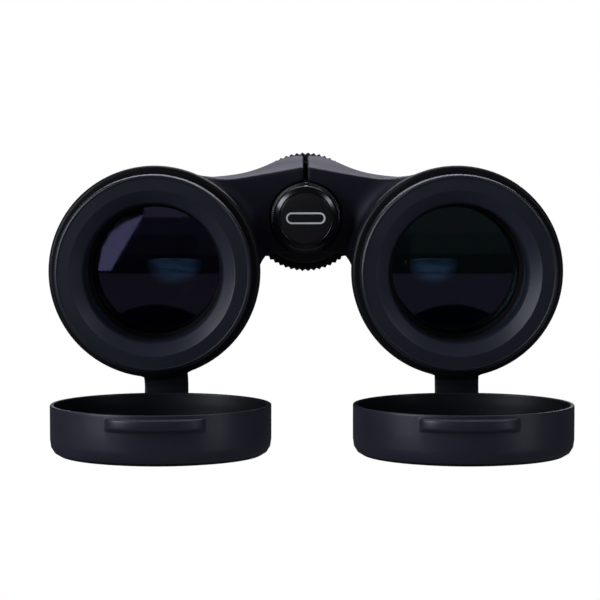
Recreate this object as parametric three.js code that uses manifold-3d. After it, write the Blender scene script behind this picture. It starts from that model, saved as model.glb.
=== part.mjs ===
// Roof-prism binoculars with two flip-down objective caps, shown open.
//
// Millimetres, +Z up. The objectives look along -Y and the eyepieces face +Y.
// The origin is the centre of the hub cap's front face, on the axis of the central hinge.
// Left and right are those of the person who looks through the eyepieces, so right is -X.
// Stations t run back along a barrel from the front lip of its bezel, which is at t = 0.

import * as THREE from "three";
import { mergeVertices } from "three/addons/utils/BufferGeometryUtils.js";
import Module from "manifold-3d";

const wasm = await Module();
wasm.setup();

// Driving dimensions
const BARREL_X = 37; // optical axes, either side of the hinge axis
const BARREL_Z = -12.7; // optical axes, below the hinge axis
const FRONT_Y = -20; // front lip of the bezels
const GAP = 0.3; // clearance between neighbouring pieces
const ARMOUR = 1.8; // thickness of the rubber armour
const OUTER_SIDES = 26; // facets round the outer pieces
const INNER_SIDES = 16; // facets round the pieces inside the barrels

const BARREL_FRONT_T = 13.2;
const BARREL_REAR_T = 92;
const BRIDGE_Y = [6, 44];
const BRIDGE_RISE = 0.2; // how much taller the bridge is at its rear
const SEAM = 0.55; // half the slot between the two bridge halves
const HINGE_CLEAR_R = 9.0;
const KNUCKLE_R = 8.6;
const KNUCKLE_BORE_R = 5.6;
const KNUCKLES = {
  right: [[7.8, 13], [36, 43.7]],
  left: [[13.3, 19], [31.3, 35.7]],
};
const CHAMBER_Y = [19, 31.3]; // room for the two focus collars

const RING_T = [8.3, 12.9]; // tether ring's groove in the bezel
const RING_FLOOR_R = 22.6;
const CAP_R = 26;
const CAP_DEPTH = 12;
const CAP_CORNER = 4;
const CAP_REST = new THREE.Vector3(0, -17, -29.6); // mouth centre of an open cap, from (axis, t = 0)
const CAP_CLOSED_T = 8; // mouth of a closed cap
const STRAP_HALF = 4.9;

const WHEEL_Y = [45, 62];
const WHEEL_R = 15.6;
const WHEEL_TEETH = 64;
const TUBE_R = 15.0;
const SLEEVE_R = 16.6;

const SIDES = [
  { name: "right", sign: -1, armY: 22, ringTurn: THREE.MathUtils.degToRad(-6) },
  { name: "left", sign: 1, armY: 25.5, ringTurn: 0 },
];

// Materials
const finish = (color, roughness, metalness = 0) => ({ color, roughness, metalness });
const RUBBER = finish(0x1b1b20, 0.8);
const SOFT_RUBBER = finish(0x17171a, 0.6);
const BLACK_PLASTIC = finish(0x101014, 0.4);
const SATIN_PLASTIC = finish(0x15151a, 0.3);
const BLACK_METAL = finish(0x131318, 0.5, 0.6);
const STEEL = finish(0x9a9ca0, 0.3, 1);
const BRASS = finish(0xb08d4c, 0.35, 1);
const CASTING = finish(0x3a3b40, 0.55, 0.7);
const SEAL_RUBBER = finish(0x0c0c0c, 0.9);
const COATED_GLASS = finish(0x6a6fae, 0.05);
const CLEAR_GLASS = finish(0xcfd8e0, 0.03);

const model = new THREE.Group();

function piece(parent, name, geometry, look) {
  const mesh = new THREE.Mesh(tidied(geometry), new THREE.MeshStandardMaterial(look));
  mesh.name = name;
  parent.add(mesh);
  return mesh;
}

// Shared vertices merged and empty triangles dropped, so that a shape is one closed surface.
function tidied(geometry) {
  geometry.deleteAttribute("normal");
  geometry.deleteAttribute("uv");
  const merged = mergeVertices(geometry, 1e-4);
  const old = merged.index.array;
  const index = [];
  for (let i = 0; i < old.length; i += 3) {
    const [a, b, c] = [old[i], old[i + 1], old[i + 2]];
    if (a !== b && b !== c && c !== a) {
      index.push(a, b, c);
    }
  }
  merged.setIndex(index);
  return merged;
}

function solid(geometry) {
  const clean = tidied(geometry);
  return new wasm.Manifold(new wasm.Mesh({
    numProp: 3,
    vertProperties: Float32Array.from(clean.attributes.position.array),
    triVerts: Uint32Array.from(clean.index.array),
  }));
}

function geometryOf(manifold) {
  const mesh = manifold.getMesh();
  const geometry = new THREE.BufferGeometry();
  geometry.setAttribute("position", new THREE.BufferAttribute(mesh.vertProperties, 3));
  geometry.setIndex(new THREE.BufferAttribute(mesh.triVerts, 1));
  return geometry;
}

// A turned shape about the Y axis from a closed outline of [radius, station] points.
// An outline that touches the axis starts and ends there.
function turned(outline, sides = OUTER_SIDES) {
  let area = 0;
  outline.forEach(([r, t], i) => {
    const [nextR, nextT] = outline[(i + 1) % outline.length];
    area += r * nextT - nextR * t;
  });
  const ordered = area > 0 ? [...outline] : [...outline].reverse();
  if (ordered[0][0] > 0) {
    ordered.push(ordered[0]);
  }
  return new THREE.LatheGeometry(ordered.map(([r, t]) => new THREE.Vector2(r, t)), sides);
}

const tube = (innerR, outerR, t0, t1, sides) =>
  turned([[innerR, t0], [outerR, t0], [outerR, t1], [innerR, t1]], sides);

const rod = (r, t0, t1, sides) => turned([[0, t0], [r, t0], [r, t1], [0, t1]], sides);

// Radius of a faceted bore whose flats clear a turning shaft.
const clearBore = (shaftR, sides = OUTER_SIDES) => (shaftR + GAP) / Math.cos(Math.PI / sides);

// An outline of [x, z] points extruded from y0 to y1.
function extrudedY(points, y0, y1) {
  const shape = new THREE.Shape(points.map(([x, z]) => new THREE.Vector2(x, z)));
  const geometry = new THREE.ExtrudeGeometry(shape, { depth: y1 - y0, bevelEnabled: false });
  return geometry.rotateX(Math.PI / 2).translate(0, y1, 0);
}

// An outline of [y, z] points extruded to either side of x = 0.
function extrudedX(points, halfWidth) {
  const shape = new THREE.Shape(points.map(([y, z]) => new THREE.Vector2(y, z)));
  const geometry = new THREE.ExtrudeGeometry(shape, { depth: 2 * halfWidth, bevelEnabled: false });
  return geometry.translate(0, 0, -halfWidth).rotateY(Math.PI / 2).rotateX(Math.PI / 2);
}

function block(x0, x1, y0, y1, z0, z1) {
  const geometry = new THREE.BoxGeometry(x1 - x0, y1 - y0, z1 - z0);
  return geometry.translate((x0 + x1) / 2, (y0 + y1) / 2, (z0 + z1) / 2);
}

// Points of a shallow lens face from the axis out to its edge.
function lensFace(edgeR, centreT, edgeT) {
  return [0, 0.6, 1].map((k) => [edgeR * k, centreT + (edgeT - centreT) * k * k]);
}

function lens(edgeR, frontCentre, frontEdge, backEdge, backCentre) {
  const front = lensFace(edgeR, frontCentre, frontEdge);
  const back = lensFace(edgeR, backCentre, backEdge).reverse();
  return turned([...front, ...back], INNER_SIDES);
}

// ---- Barrel and bridge shells ----

// Outer radius of the armour at each station, less an inset.
function barrelOutline(inset, t0, t1) {
  const skin = [[22, 25.0], [34, 23.8], [46, 23.0], [58, 22.5], [84, 22.4], [90, 21.6]];
  const bead = inset > 0 ? [] : [[BARREL_FRONT_T + 1, 25.4]];
  const wall = [[t0, 24.6], ...bead, ...skin, [t1, 20.9]];
  return [[0, t0], ...wall.map(([t, r]) => [r - inset, t]), [0, t1]];
}

// Half of the bridge in the X-Z plane, from the seam out into the barrel.
function bridgeOutline(inset, seam) {
  const top = [[seam, 12.2], [9, 11.3], [16, 9.8], [22, 9.0], [30, 5.5]];
  const under = [[30, -9.7], [11.4, -9.7], [9.8, -8.6], [4.4, -8.6]];
  return [
    ...top.map(([x, z]) => [x, z - inset]),
    ...under.map(([x, z]) => [x, z + inset]),
    [seam, -1.2],
  ];
}

// The top of the bridge climbs towards its rear.
function raiseRear(geometry) {
  const position = geometry.attributes.position;
  for (let i = 0; i < position.count; i += 1) {
    const along = (position.getY(i) - BRIDGE_Y[0]) / (BRIDGE_Y[1] - BRIDGE_Y[0]);
    if (position.getZ(i) > 0) {
      position.setZ(i, position.getZ(i) * (1 + BRIDGE_RISE * along));
    }
  }
  return geometry;
}

// A barrel joined to its half of the bridge, all faces moved in by inset.
function shell(side, inset, seam, t0, t1) {
  const barrel = solid(
    turned(barrelOutline(inset, t0, t1)).translate(BARREL_X, FRONT_Y, BARREL_Z),
  );
  const bridge = solid(
    raiseRear(extrudedY(bridgeOutline(inset, seam), BRIDGE_Y[0] + inset, BRIDGE_Y[1] - inset)),
  );
  const half = barrel.add(bridge);
  return side.sign > 0 ? half : half.mirror([1, 0, 0]);
}

function armour(side) {
  const outer = shell(side, 0, SEAM, BARREL_FRONT_T, BARREL_REAR_T);
  const inner = shell(side, ARMOUR, -1, BARREL_FRONT_T - 1, BARREL_REAR_T + 1);
  const hinge = solid(rod(HINGE_CLEAR_R, BRIDGE_Y[0] - 1, BRIDGE_Y[1] + 1));
  return geometryOf(outer.subtract(inner).subtract(hinge));
}

// A bar along the line from the hinge axis to a barrel's axis.
function armBar(side, fromR, toR, y0, y1, halfWidth) {
  const tilt = Math.atan2(-BARREL_Z, BARREL_X);
  const bar = block(fromR, toR, y0, y1, -halfWidth, halfWidth).rotateY(tilt);
  const placed = solid(bar);
  return side.sign > 0 ? placed : placed.mirror([1, 0, 0]);
}

const ARM_REACH = Math.hypot(BARREL_X, BARREL_Z);
const FOCUS_TRAVEL = 2.5;
const ARM_THICK = 3;
const ARM_HALF = 1.8;

function housing(side) {
  const other = side.name === "left" ? "right" : "left";
  let body = shell(side, ARMOUR + GAP, SEAM + GAP, BARREL_FRONT_T, BARREL_REAR_T);
  KNUCKLES[side.name].forEach(([y0, y1]) => {
    body = body.add(solid(rod(KNUCKLE_R, y0, y1)));
  });
  [...KNUCKLES[other], CHAMBER_Y].forEach(([y0, y1]) => {
    body = body.subtract(solid(rod(HINGE_CLEAR_R, y0 - GAP, y1 + GAP)));
  });
  body = body.subtract(solid(rod(KNUCKLE_BORE_R, BRIDGE_Y[0] - 1, BRIDGE_Y[1] + 1)));
  body = body.subtract(solid(rod(KNUCKLE_R, BRIDGE_Y[0], KNUCKLES.right[0][0])));
  const bores = turned([
    [0, 13], [20.3, 13], [20.3, 31], [17, 31], [17, 38], [14.6, 38], [14.6, 58],
    [18.2, 58], [18.2, 88.5], [13, 88.5], [13, 93], [0, 93],
  ], INNER_SIDES);
  body = body.subtract(solid(bores.translate(side.sign * BARREL_X, FRONT_Y, BARREL_Z)));
  const play = FOCUS_TRAVEL + 2 * GAP;
  const slot = armBar(
    side, 8, ARM_REACH - 14, side.armY - play, side.armY + ARM_THICK + play, ARM_HALF + 0.5,
  );
  return geometryOf(body.subtract(slot));
}

function focusArm(side) {
  const { armY } = side;
  const collar = solid(rod(KNUCKLE_R - 0.2, armY, armY + ARM_THICK));
  const bar = armBar(side, 6, ARM_REACH - 14.5, armY, armY + ARM_THICK, ARM_HALF);
  const bore = solid(rod(clearBore(5.2), armY - 1, armY + ARM_THICK + 1));
  return geometryOf(collar.add(bar).subtract(bore));
}

// ---- Objective end ----

function bezel() {
  return turned([
    [16.8, 4], [20.1, 0.4], [23.2, 0], [23.9, 0.9], [23.9, 8], [RING_FLOOR_R, 8],
    [RING_FLOOR_R, 12.9], [19.5, 12.9], [19.5, 16], [16.8, 16],
  ]);
}

function objectiveCell() {
  return turned([[15.8, 16.3], [19.9, 16.3], [19.9, 29], [17, 29], [17, 17.3], [15.8, 17.3]],
    INNER_SIDES);
}

// ---- Flip caps and their rings ----

// The hinge line of a cap's strap. A ring that stands turned by ringTurn leans the line
// by half as much, and moves the open cap sideways.
function capHinge(ringTurn) {
  const half = ringTurn / 2;
  const axis = new THREE.Vector3(Math.cos(half), -Math.sin(half), -Math.sin(half)).normalize();
  const shift = (CAP_CLOSED_T - CAP_REST.y - CAP_REST.z) * Math.tan(-half);
  return { axis, shift };
}

function tetherRing() {
  const innerR = clearBore(RING_FLOOR_R);
  const [t0, t1] = RING_T;
  const hoop = solid(turned([
    [innerR, t0], [25.3, t0], [25.9, t0 + 0.6], [25.9, t1 - 0.6], [25.3, t1], [innerR, t1],
  ]));
  const pad = solid(block(-STRAP_HALF, STRAP_HALF, t0 + 0.2, t1 - 0.2, -26, -24));
  return geometryOf(hoop.add(pad));
}

// A cap with its mouth up at z = 0. Its strap stands behind it and its lift tab is in front.
function cap(hingeAxis) {
  const flatR = CAP_R - CAP_CORNER;
  const cornerX = CAP_CORNER * Math.SQRT1_2;
  const cup = turned([
    [0, -CAP_DEPTH], [flatR, -CAP_DEPTH], [flatR + cornerX, -CAP_DEPTH + CAP_CORNER - cornerX],
    [CAP_R, -CAP_DEPTH + CAP_CORNER], [CAP_R, 0], [CAP_R - 1.1, 0], [CAP_R - 1.5, -3],
    [CAP_R - 1.5, -8], [CAP_R - 3.2, -10.5], [0, -10.5],
  ]).rotateX(Math.PI / 2);
  const tabR = 18;
  const tabOut = 1.8;
  const tabDisc = rod(tabR, -3.5, -0.5, 48).rotateX(Math.PI / 2);
  const tab = solid(tabDisc.translate(0, tabR - CAP_R - tabOut, 0))
    .subtract(solid(rod(CAP_R - 0.7, -5, 1).rotateX(Math.PI / 2)));
  const strap = solid(extrudedX([
    [26.5, 2.3], [28.1, 2.3], [28.1, -3.4], [26.4, -6.4], [25.1, -6.4], [25.1, -1.3], [26.5, -0.2],
  ], STRAP_HALF));
  const lean = new THREE.Quaternion().setFromUnitVectors(new THREE.Vector3(1, 0, 0), hingeAxis);
  const knuckle = rod(0.8, -4.5, 4.5, 12).rotateZ(Math.PI / 2).applyQuaternion(lean);
  const root = solid(knuckle.translate(0, 27.35, 2.35));
  return geometryOf(solid(cup).add(tab).add(strap).add(root));
}

// ---- Eyepiece end ----

function eyepieceRing() {
  return turned([
    [clearBore(TUBE_R), 92.5], [19.8, 92.5], [20.3, 93], [20.3, 98], [19.8, 98.5],
    [clearBore(TUBE_R), 98.5],
  ]);
}

function ocularCell() {
  return turned([[9.5, 96.5], [13, 96.5], [13, 116], [10.8, 116], [10.8, 97.5], [9.5, 97.5]],
    INNER_SIDES);
}

function eyecup() {
  const innerR = clearBore(SLEEVE_R);
  return turned([
    [innerR, 99.5], [19, 99.5], [19, 122], [15.6, 122], [15.6, 120.2], [innerR, 120.2],
  ]);
}

function eyecupRubber() {
  return turned([
    [19.3, 103], [20.2, 103], [20.3, 122.8], [19.5, 124], [17, 124], [16, 122.3], [19.3, 122.3],
  ]);
}

function strapLug(side) {
  const outline = [[22.8, 74], [28.3, 77], [28.3, 89], [22.8, 92]];
  const loop = new THREE.Shape(outline.map(([x, t]) => new THREE.Vector2(x, t)));
  const slot = [[24.3, 78], [24.3, 88], [26.9, 87.5], [26.9, 78.5]];
  loop.holes.push(new THREE.Path(slot.map(([x, t]) => new THREE.Vector2(x, t))));
  const geometry = new THREE.ExtrudeGeometry(loop, { depth: 5, bevelEnabled: false });
  geometry.translate(0, 0, -2.5);
  return side.sign > 0 ? geometry : geometry.rotateY(Math.PI);
}

// ---- Prisms ----

const PRISM_HALF = 9;
const helperPrism = () => extrudedX(
  [[62.5, -10.5], [62.5, 10.5], [66, 10.5], [74.2, -6.5], [71, -10.5]], PRISM_HALF,
);
const roofPrism = () => extrudedX(
  [[67, 10.5], [86.5, 10.5], [86.5, -9], [82.5, -10.5], [75.2, -6.5]], PRISM_HALF,
);

// ---- Both barrels ----

SIDES.forEach((side) => {
  const { name } = side;
  piece(model, `${name}_housing`, housing(side), CASTING);
  piece(model, `${name}_armour`, armour(side), RUBBER);
  piece(model, `${name}_focus_arm`, focusArm(side), BRASS);

  const barrel = new THREE.Group();
  barrel.position.set(side.sign * BARREL_X, FRONT_Y, BARREL_Z);
  model.add(barrel);
  piece(barrel, `${name}_objective_bezel`, bezel(), BLACK_PLASTIC);
  piece(barrel, `${name}_objective_cell`, objectiveCell(), BLACK_METAL);
  piece(barrel, `${name}_objective_crown`, lens(16.7, 17.6, 19.6, 21.9, 22.9), COATED_GLASS);
  piece(barrel, `${name}_objective_flint`, lens(16.7, 23.2, 22.2, 25.9, 24.6), CLEAR_GLASS);
  piece(barrel, `${name}_objective_retainer`, tube(14.6, 16.7, 26.3, 28.5, INNER_SIDES), BLACK_METAL);
  piece(barrel, `${name}_objective_seal`, tube(17.6, 19.7, 29.3, 30.7, INNER_SIDES), SEAL_RUBBER);
  piece(barrel, `${name}_focus_cell`, tube(11.3, 14.2, 43, 49, INNER_SIDES), BLACK_METAL);
  piece(barrel, `${name}_focus_lens`, lens(11, 45.6, 44, 48, 46.9), COATED_GLASS);
  piece(barrel, `${name}_prism_cage`, tube(15.8, 17.9, 60, 88, INNER_SIDES), BLACK_PLASTIC);
  piece(barrel, `${name}_helper_prism`, helperPrism(), CLEAR_GLASS);
  piece(barrel, `${name}_roof_prism`, roofPrism(), CLEAR_GLASS);
  piece(barrel, `${name}_ocular_tube`, tube(13.4, TUBE_R, 92.3, 119), BLACK_METAL);
  piece(barrel, `${name}_ocular_cell`, ocularCell(), BLACK_METAL);
  piece(barrel, `${name}_field_lens`, lens(10.5, 98, 99.5, 101.5, 102), CLEAR_GLASS);
  piece(barrel, `${name}_eye_lens`, lens(10.5, 109.5, 110.5, 113, 114.6), COATED_GLASS);
  const ringName = name === "right" ? "right_diopter_ring" : "left_eyepiece_collar";
  piece(barrel, ringName, eyepieceRing(), SOFT_RUBBER);
  const sleeveR = clearBore(TUBE_R);
  piece(barrel, `${name}_eyecup_sleeve`, tube(sleeveR, SLEEVE_R, 99, 119), BLACK_PLASTIC);
  piece(barrel, `${name}_eyecup`, eyecup(), BLACK_PLASTIC);
  piece(barrel, `${name}_eyecup_rubber`, eyecupRubber(), SOFT_RUBBER);
  piece(barrel, `${name}_strap_lug`, strapLug(side), BLACK_METAL);

  const ring = piece(barrel, `${name}_tether_ring`, tetherRing(), SOFT_RUBBER);
  ring.rotation.y = side.ringTurn;
  const hinge = capHinge(side.ringTurn);
  const flipCap = piece(barrel, `${name}_objective_cap`, cap(hinge.axis), SATIN_PLASTIC);
  flipCap.position.copy(CAP_REST).setX(hinge.shift);
});

// ---- Central hinge and focus drive ----

const AXLE_R = 4;

function hubCap() {
  return turned([
    [0, 0], [6.6, 0], [7.9, 1], [8.2, 2], [8.9, 2.2], [8.9, 5.5], [2.9, 5.5], [2.9, 12], [0, 12],
  ]);
}

function hingeAxle() {
  const bore = 4.2;
  return turned([
    [0, 14.5], [bore, 14.5], [bore, 6], [7.5, 6], [7.5, 7.4], [5.2, 7.4], [5.2, 18.9],
    [AXLE_R, 18.9], [AXLE_R, 62], [0, 62],
  ], INNER_SIDES);
}

function wheelGrip() {
  const points = [];
  for (let i = 0; i < 2 * WHEEL_TEETH; i += 1) {
    const angle = (Math.PI * i) / WHEEL_TEETH;
    const r = i % 2 ? WHEEL_R - 0.5 : WHEEL_R;
    points.push(new THREE.Vector2(r * Math.cos(angle), r * Math.sin(angle)));
  }
  const shape = new THREE.Shape(points);
  const hole = [];
  for (let i = 0; i < OUTER_SIDES; i += 1) {
    const angle = (2 * Math.PI * i) / OUTER_SIDES;
    hole.push(new THREE.Vector2(13.7 * Math.cos(angle), 13.7 * Math.sin(angle)));
  }
  shape.holes.push(new THREE.Path(hole));
  const depth = WHEEL_Y[1] - WHEEL_Y[0] - 2;
  const geometry = new THREE.ExtrudeGeometry(shape, { depth, bevelEnabled: false });
  return geometry.rotateX(Math.PI / 2).translate(0, WHEEL_Y[1] - 1, 0);
}

const wheelBore = clearBore(AXLE_R, INNER_SIDES);
const wheelCore = turned([
  [wheelBore, WHEEL_Y[0]], [12.6, WHEEL_Y[0]], [13.3, WHEEL_Y[0] + 0.7],
  [13.3, WHEEL_Y[1] - 0.7], [12.6, WHEEL_Y[1]], [wheelBore, WHEEL_Y[1]],
]);
const endCap = turned([[0, 62.3], [9, 62.3], [9, 64.5], [7.8, 66], [0, 66]]);
piece(model, "hub_cap", hubCap(), BLACK_METAL);
piece(model, "hinge_axle", hingeAxle(), STEEL);
piece(model, "tripod_insert", tube(3.25, 3.85, 6.4, 14, INNER_SIDES), STEEL);
piece(model, "focus_screw", tube(wheelBore, 5.2, 19.3, 44.7, INNER_SIDES), BRASS);
piece(model, "hinge_washer", tube(5.6, 8.2, 44, 44.7, INNER_SIDES), STEEL);
piece(model, "focus_wheel_core", wheelCore, BLACK_PLASTIC);
piece(model, "focus_wheel_grip", wheelGrip(), RUBBER);
piece(model, "hinge_end_cap", endCap, BLACK_METAL);

export default model;
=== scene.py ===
import itertools
import math

import bmesh
import bpy
import numpy as np
from mathutils import Matrix, Vector


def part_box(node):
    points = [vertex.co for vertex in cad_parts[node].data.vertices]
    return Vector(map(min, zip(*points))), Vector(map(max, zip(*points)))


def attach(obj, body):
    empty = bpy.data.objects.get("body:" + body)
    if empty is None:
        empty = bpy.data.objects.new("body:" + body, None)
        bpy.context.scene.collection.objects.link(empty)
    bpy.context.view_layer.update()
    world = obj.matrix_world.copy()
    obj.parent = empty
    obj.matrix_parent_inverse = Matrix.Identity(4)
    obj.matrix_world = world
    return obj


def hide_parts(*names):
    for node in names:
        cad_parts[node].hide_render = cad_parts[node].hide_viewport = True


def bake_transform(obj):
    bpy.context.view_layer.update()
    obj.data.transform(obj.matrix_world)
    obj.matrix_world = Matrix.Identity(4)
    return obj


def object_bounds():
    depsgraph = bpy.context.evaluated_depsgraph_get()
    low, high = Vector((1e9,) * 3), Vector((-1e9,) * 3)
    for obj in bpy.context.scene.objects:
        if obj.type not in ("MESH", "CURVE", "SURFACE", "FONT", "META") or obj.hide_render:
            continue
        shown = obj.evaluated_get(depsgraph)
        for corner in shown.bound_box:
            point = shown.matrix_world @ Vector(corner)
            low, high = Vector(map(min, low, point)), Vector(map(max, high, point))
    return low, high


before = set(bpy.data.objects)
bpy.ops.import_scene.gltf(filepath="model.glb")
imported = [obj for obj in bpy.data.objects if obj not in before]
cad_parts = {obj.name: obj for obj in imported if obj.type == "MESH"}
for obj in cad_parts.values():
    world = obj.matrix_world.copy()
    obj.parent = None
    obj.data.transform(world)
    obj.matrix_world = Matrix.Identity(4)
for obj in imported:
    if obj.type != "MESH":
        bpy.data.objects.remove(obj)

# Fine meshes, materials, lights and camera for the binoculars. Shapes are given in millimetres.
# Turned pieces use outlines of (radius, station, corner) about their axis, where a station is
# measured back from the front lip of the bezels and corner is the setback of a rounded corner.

cad_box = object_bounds()
MM = 0.001


def box_mm(node):
    """A CAD node's box, in millimetres."""
    low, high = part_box(node)
    return np.array(low) / MM, np.array(high) / MM


def axis_origin(node):
    """Middle of a turned node in X and Z, at its front."""
    low, high = box_mm(node)
    middle = (low + high) / 2
    return np.array([middle[0], low[1], middle[2]])


SIDES = {"right": -1, "left": 1}
ORIGIN = {side: axis_origin(f"{side}_objective_bezel") for side in SIDES}
BARREL_X = ORIGIN["left"][0]
BARREL_Z = ORIGIN["left"][2]
FRONT_Y = ORIGIN["left"][1]
HUB = np.zeros(3)


# ---- Materials ----


def noise(nodes, coordinates, scale, detail=2.0, stretch=None):
    """A noise texture in object space, with scale in features per metre."""
    texture = nodes.new("ShaderNodeTexNoise")
    texture.inputs["Scale"].default_value = scale
    texture.inputs["Detail"].default_value = detail
    vector = coordinates.outputs["Object"]
    if stretch:
        mapping = nodes.new("ShaderNodeMapping")
        mapping.inputs["Scale"].default_value = stretch
        nodes.id_data.links.new(vector, mapping.inputs["Vector"])
        vector = mapping.outputs["Vector"]
    nodes.id_data.links.new(vector, texture.inputs["Vector"])
    return texture.outputs["Fac"]


def ramp(nodes, factor, low, high, start=0.3, stop=0.7):
    """A colour ramp from low to high over part of the factor's range."""
    node = nodes.new("ShaderNodeValToRGB")
    node.color_ramp.elements[0].position = start
    node.color_ramp.elements[1].position = stop
    node.color_ramp.elements[0].color = (*low, 1)
    node.color_ramp.elements[1].color = (*high, 1)
    nodes.id_data.links.new(factor, node.inputs["Fac"])
    return node.outputs["Color"]


def grey(value):
    """The same value for red, green and blue."""
    return (value, value, value)


def surface(name, color, roughness, grain_mm=0.3, relief_mm=0.01, variation=0.25, stretch=None,
            metallic=0.0, **sockets):
    """A material with patchy colour, uneven roughness and a fine grain in relief."""
    material = bpy.data.materials.new(name)
    material.use_nodes = True
    nodes = material.node_tree.nodes
    links = material.node_tree.links
    shader = nodes["Principled BSDF"]
    shader.inputs["Metallic"].default_value = metallic
    for socket, value in sockets.items():
        shader.inputs[socket.replace("_", " ")].default_value = value
    coordinates = nodes.new("ShaderNodeTexCoord")
    patches = noise(nodes, coordinates, 60, 4.0)
    fine = noise(nodes, coordinates, 1 / (grain_mm * MM), 3.0, stretch)
    dark = [c * (1 - variation) for c in color]
    light = [c * (1 + variation) for c in color]
    mixer = nodes.new("ShaderNodeMix")
    mixer.data_type = "RGBA"
    mixer.inputs["Factor"].default_value = 0.5
    links.new(ramp(nodes, patches, dark, light), mixer.inputs["A"])
    links.new(ramp(nodes, fine, dark, light), mixer.inputs["B"])
    links.new(mixer.outputs["Result"], shader.inputs["Base Color"])
    rough = ramp(nodes, patches, grey(roughness - 0.05), grey(roughness + 0.05))
    links.new(rough, shader.inputs["Roughness"])
    bump = nodes.new("ShaderNodeBump")
    bump.inputs["Strength"].default_value = 1.0
    bump.inputs["Distance"].default_value = relief_mm * MM
    links.new(fine, bump.inputs["Height"])
    links.new(bump.outputs["Normal"], shader.inputs["Normal"])
    return material


def glass(name, color, alpha, tint, roughness=0.02, ior=1.5):
    """Coated glass: part clear, part dark, with a tinted reflection and faint wipe marks."""
    material = bpy.data.materials.new(name)
    material.use_nodes = True
    nodes = material.node_tree.nodes
    shader = nodes["Principled BSDF"]
    shader.inputs["Alpha"].default_value = alpha
    shader.inputs["IOR"].default_value = ior
    shader.inputs["Specular Tint"].default_value = (*tint, 1)
    coordinates = nodes.new("ShaderNodeTexCoord")
    patches = noise(nodes, coordinates, 90, 3.0)
    deep = [c * 0.8 for c in color]
    material.node_tree.links.new(ramp(nodes, patches, deep, color), shader.inputs["Base Color"])
    smear = noise(nodes, coordinates, 25, 5.0, (1, 1, 3))
    haze = ramp(nodes, smear, grey(roughness), grey(roughness + 0.02))
    material.node_tree.links.new(haze, shader.inputs["Roughness"])
    return material


MIRROR_IOR = 2.4  # above real glass, for a strong reflection in the front lenses

MATERIALS = {
    "armour": surface("armour rubber", (0.0046, 0.0046, 0.0170), 0.58, 0.30, 0.045, 0.3,
                      Specular_IOR_Level=0.4),
    "grip": surface("wheel rubber", (0.0060, 0.0060, 0.0095), 0.65, 0.25, 0.02, 0.3,
                    Specular_IOR_Level=0.25),
    "ring": surface("ring rubber", (0.0035, 0.0038, 0.0060), 0.46, 0.25, 0.008, 0.2,
                    Specular_IOR_Level=0.35),
    "strap": surface("strap rubber", (0.0040, 0.0050, 0.0085), 0.55, 0.25, 0.008, 0.2,
                     Specular_IOR_Level=0.3),
    "eyecup": surface("eyecup rubber", (0.011, 0.011, 0.0145), 0.6, 0.3, 0.015, 0.25),
    "bezel": surface("bezel plastic", (0.0116, 0.0139, 0.0260), 0.42, 0.2, 0.006, 0.15,
                     Specular_IOR_Level=0.62),
    # Painted light: the funnel is the bezel's plastic made paler, for a face that catches little
    # light; its lower specular level is a duller finish.
    "funnel": surface("painted-light funnel", (0.0215, 0.0240, 0.0400), 0.43, 0.2, 0.006, 0.15,
                      Specular_IOR_Level=0.56),
    "cap": surface("cap plastic", (0.0160, 0.0160, 0.0310), 0.40, 0.35, 0.004, 0.15,
                   Specular_IOR_Level=0.7),
    # Painted shade: the cap's inside is darker where little light falls into the cup; its higher
    # roughness is a matt finish.
    "cap_inside_shade": surface("cap inside painted shade", (0.0045, 0.0048, 0.0080), 0.55, 0.35, 0.004, 0.2,
                          Specular_IOR_Level=0.3),
    "plastic": surface("black plastic", (0.011, 0.011, 0.0155), 0.45, 0.25, 0.006, 0.2),
    "matt": surface("matt black interior", (0.0025, 0.0025, 0.003), 0.8, 0.2, 0.01, 0.3),
    "hub": surface("anodised black metal", (0.0036, 0.0038, 0.0056), 0.25, 0.15, 0.003, 0.2,
                   Specular_IOR_Level=1.0),
    "mark": surface("white mark paint", (0.92, 0.92, 0.94), 0.4, 0.2, 0.003, 0.05),
    "steel": surface("turned steel", (0.52, 0.53, 0.55), 0.3, 0.2, 0.004, 0.1, (1, 12, 1),
                     metallic=1.0),
    "brass": surface("turned brass", (0.70, 0.52, 0.26), 0.32, 0.2, 0.004, 0.1, (1, 12, 1),
                     metallic=1.0),
    "casting": surface("blasted casting", (0.05, 0.05, 0.055), 0.6, 0.4, 0.03, 0.2, metallic=0.8),
    "seal": surface("seal rubber", (0.002, 0.002, 0.002), 0.7, 0.2, 0.005, 0.2,
                    Specular_IOR_Level=0.0),
    "coat_violet": glass("violet coated glass", (0.0002, 0.0002, 0.0008), 0.6,
                         (0.45, 0.45, 0.90), ior=MIRROR_IOR),
    "coat_green": glass("green coated glass", (0.0002, 0.0006, 0.0006), 0.6,
                        (0.50, 0.85, 0.85), ior=MIRROR_IOR),
    "coat_eye": glass("eyepiece glass", (0.0004, 0.0008, 0.0007), 0.6, (0.6, 1.0, 0.75)),
    "cement": glass("cemented face", (0.0005, 0.0005, 0.0006), 0.02, (0.1, 0.1, 0.1)),
    "clear": glass("clear glass", (0.002, 0.0022, 0.0025), 0.12, (0.8, 0.85, 1.0)),
    "prism": glass("prism glass", (0.01, 0.015, 0.0175), 0.75, (0.7, 0.85, 1.0)),
}


# Where the painted glow shows in front of each prism: its middle in X, and half its size.
WINDOW_X = {"right": -BARREL_X + 2.2, "left": BARREL_X - 3.2}
WINDOW_HALF_WIDTH = {"right": 7.4, "left": 6.7}
WINDOW_HALF_HEIGHT = 5.8
WINDOW_DROP = 0.9
PAINTED_GLOW_STRENGTH = 1.45


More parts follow.
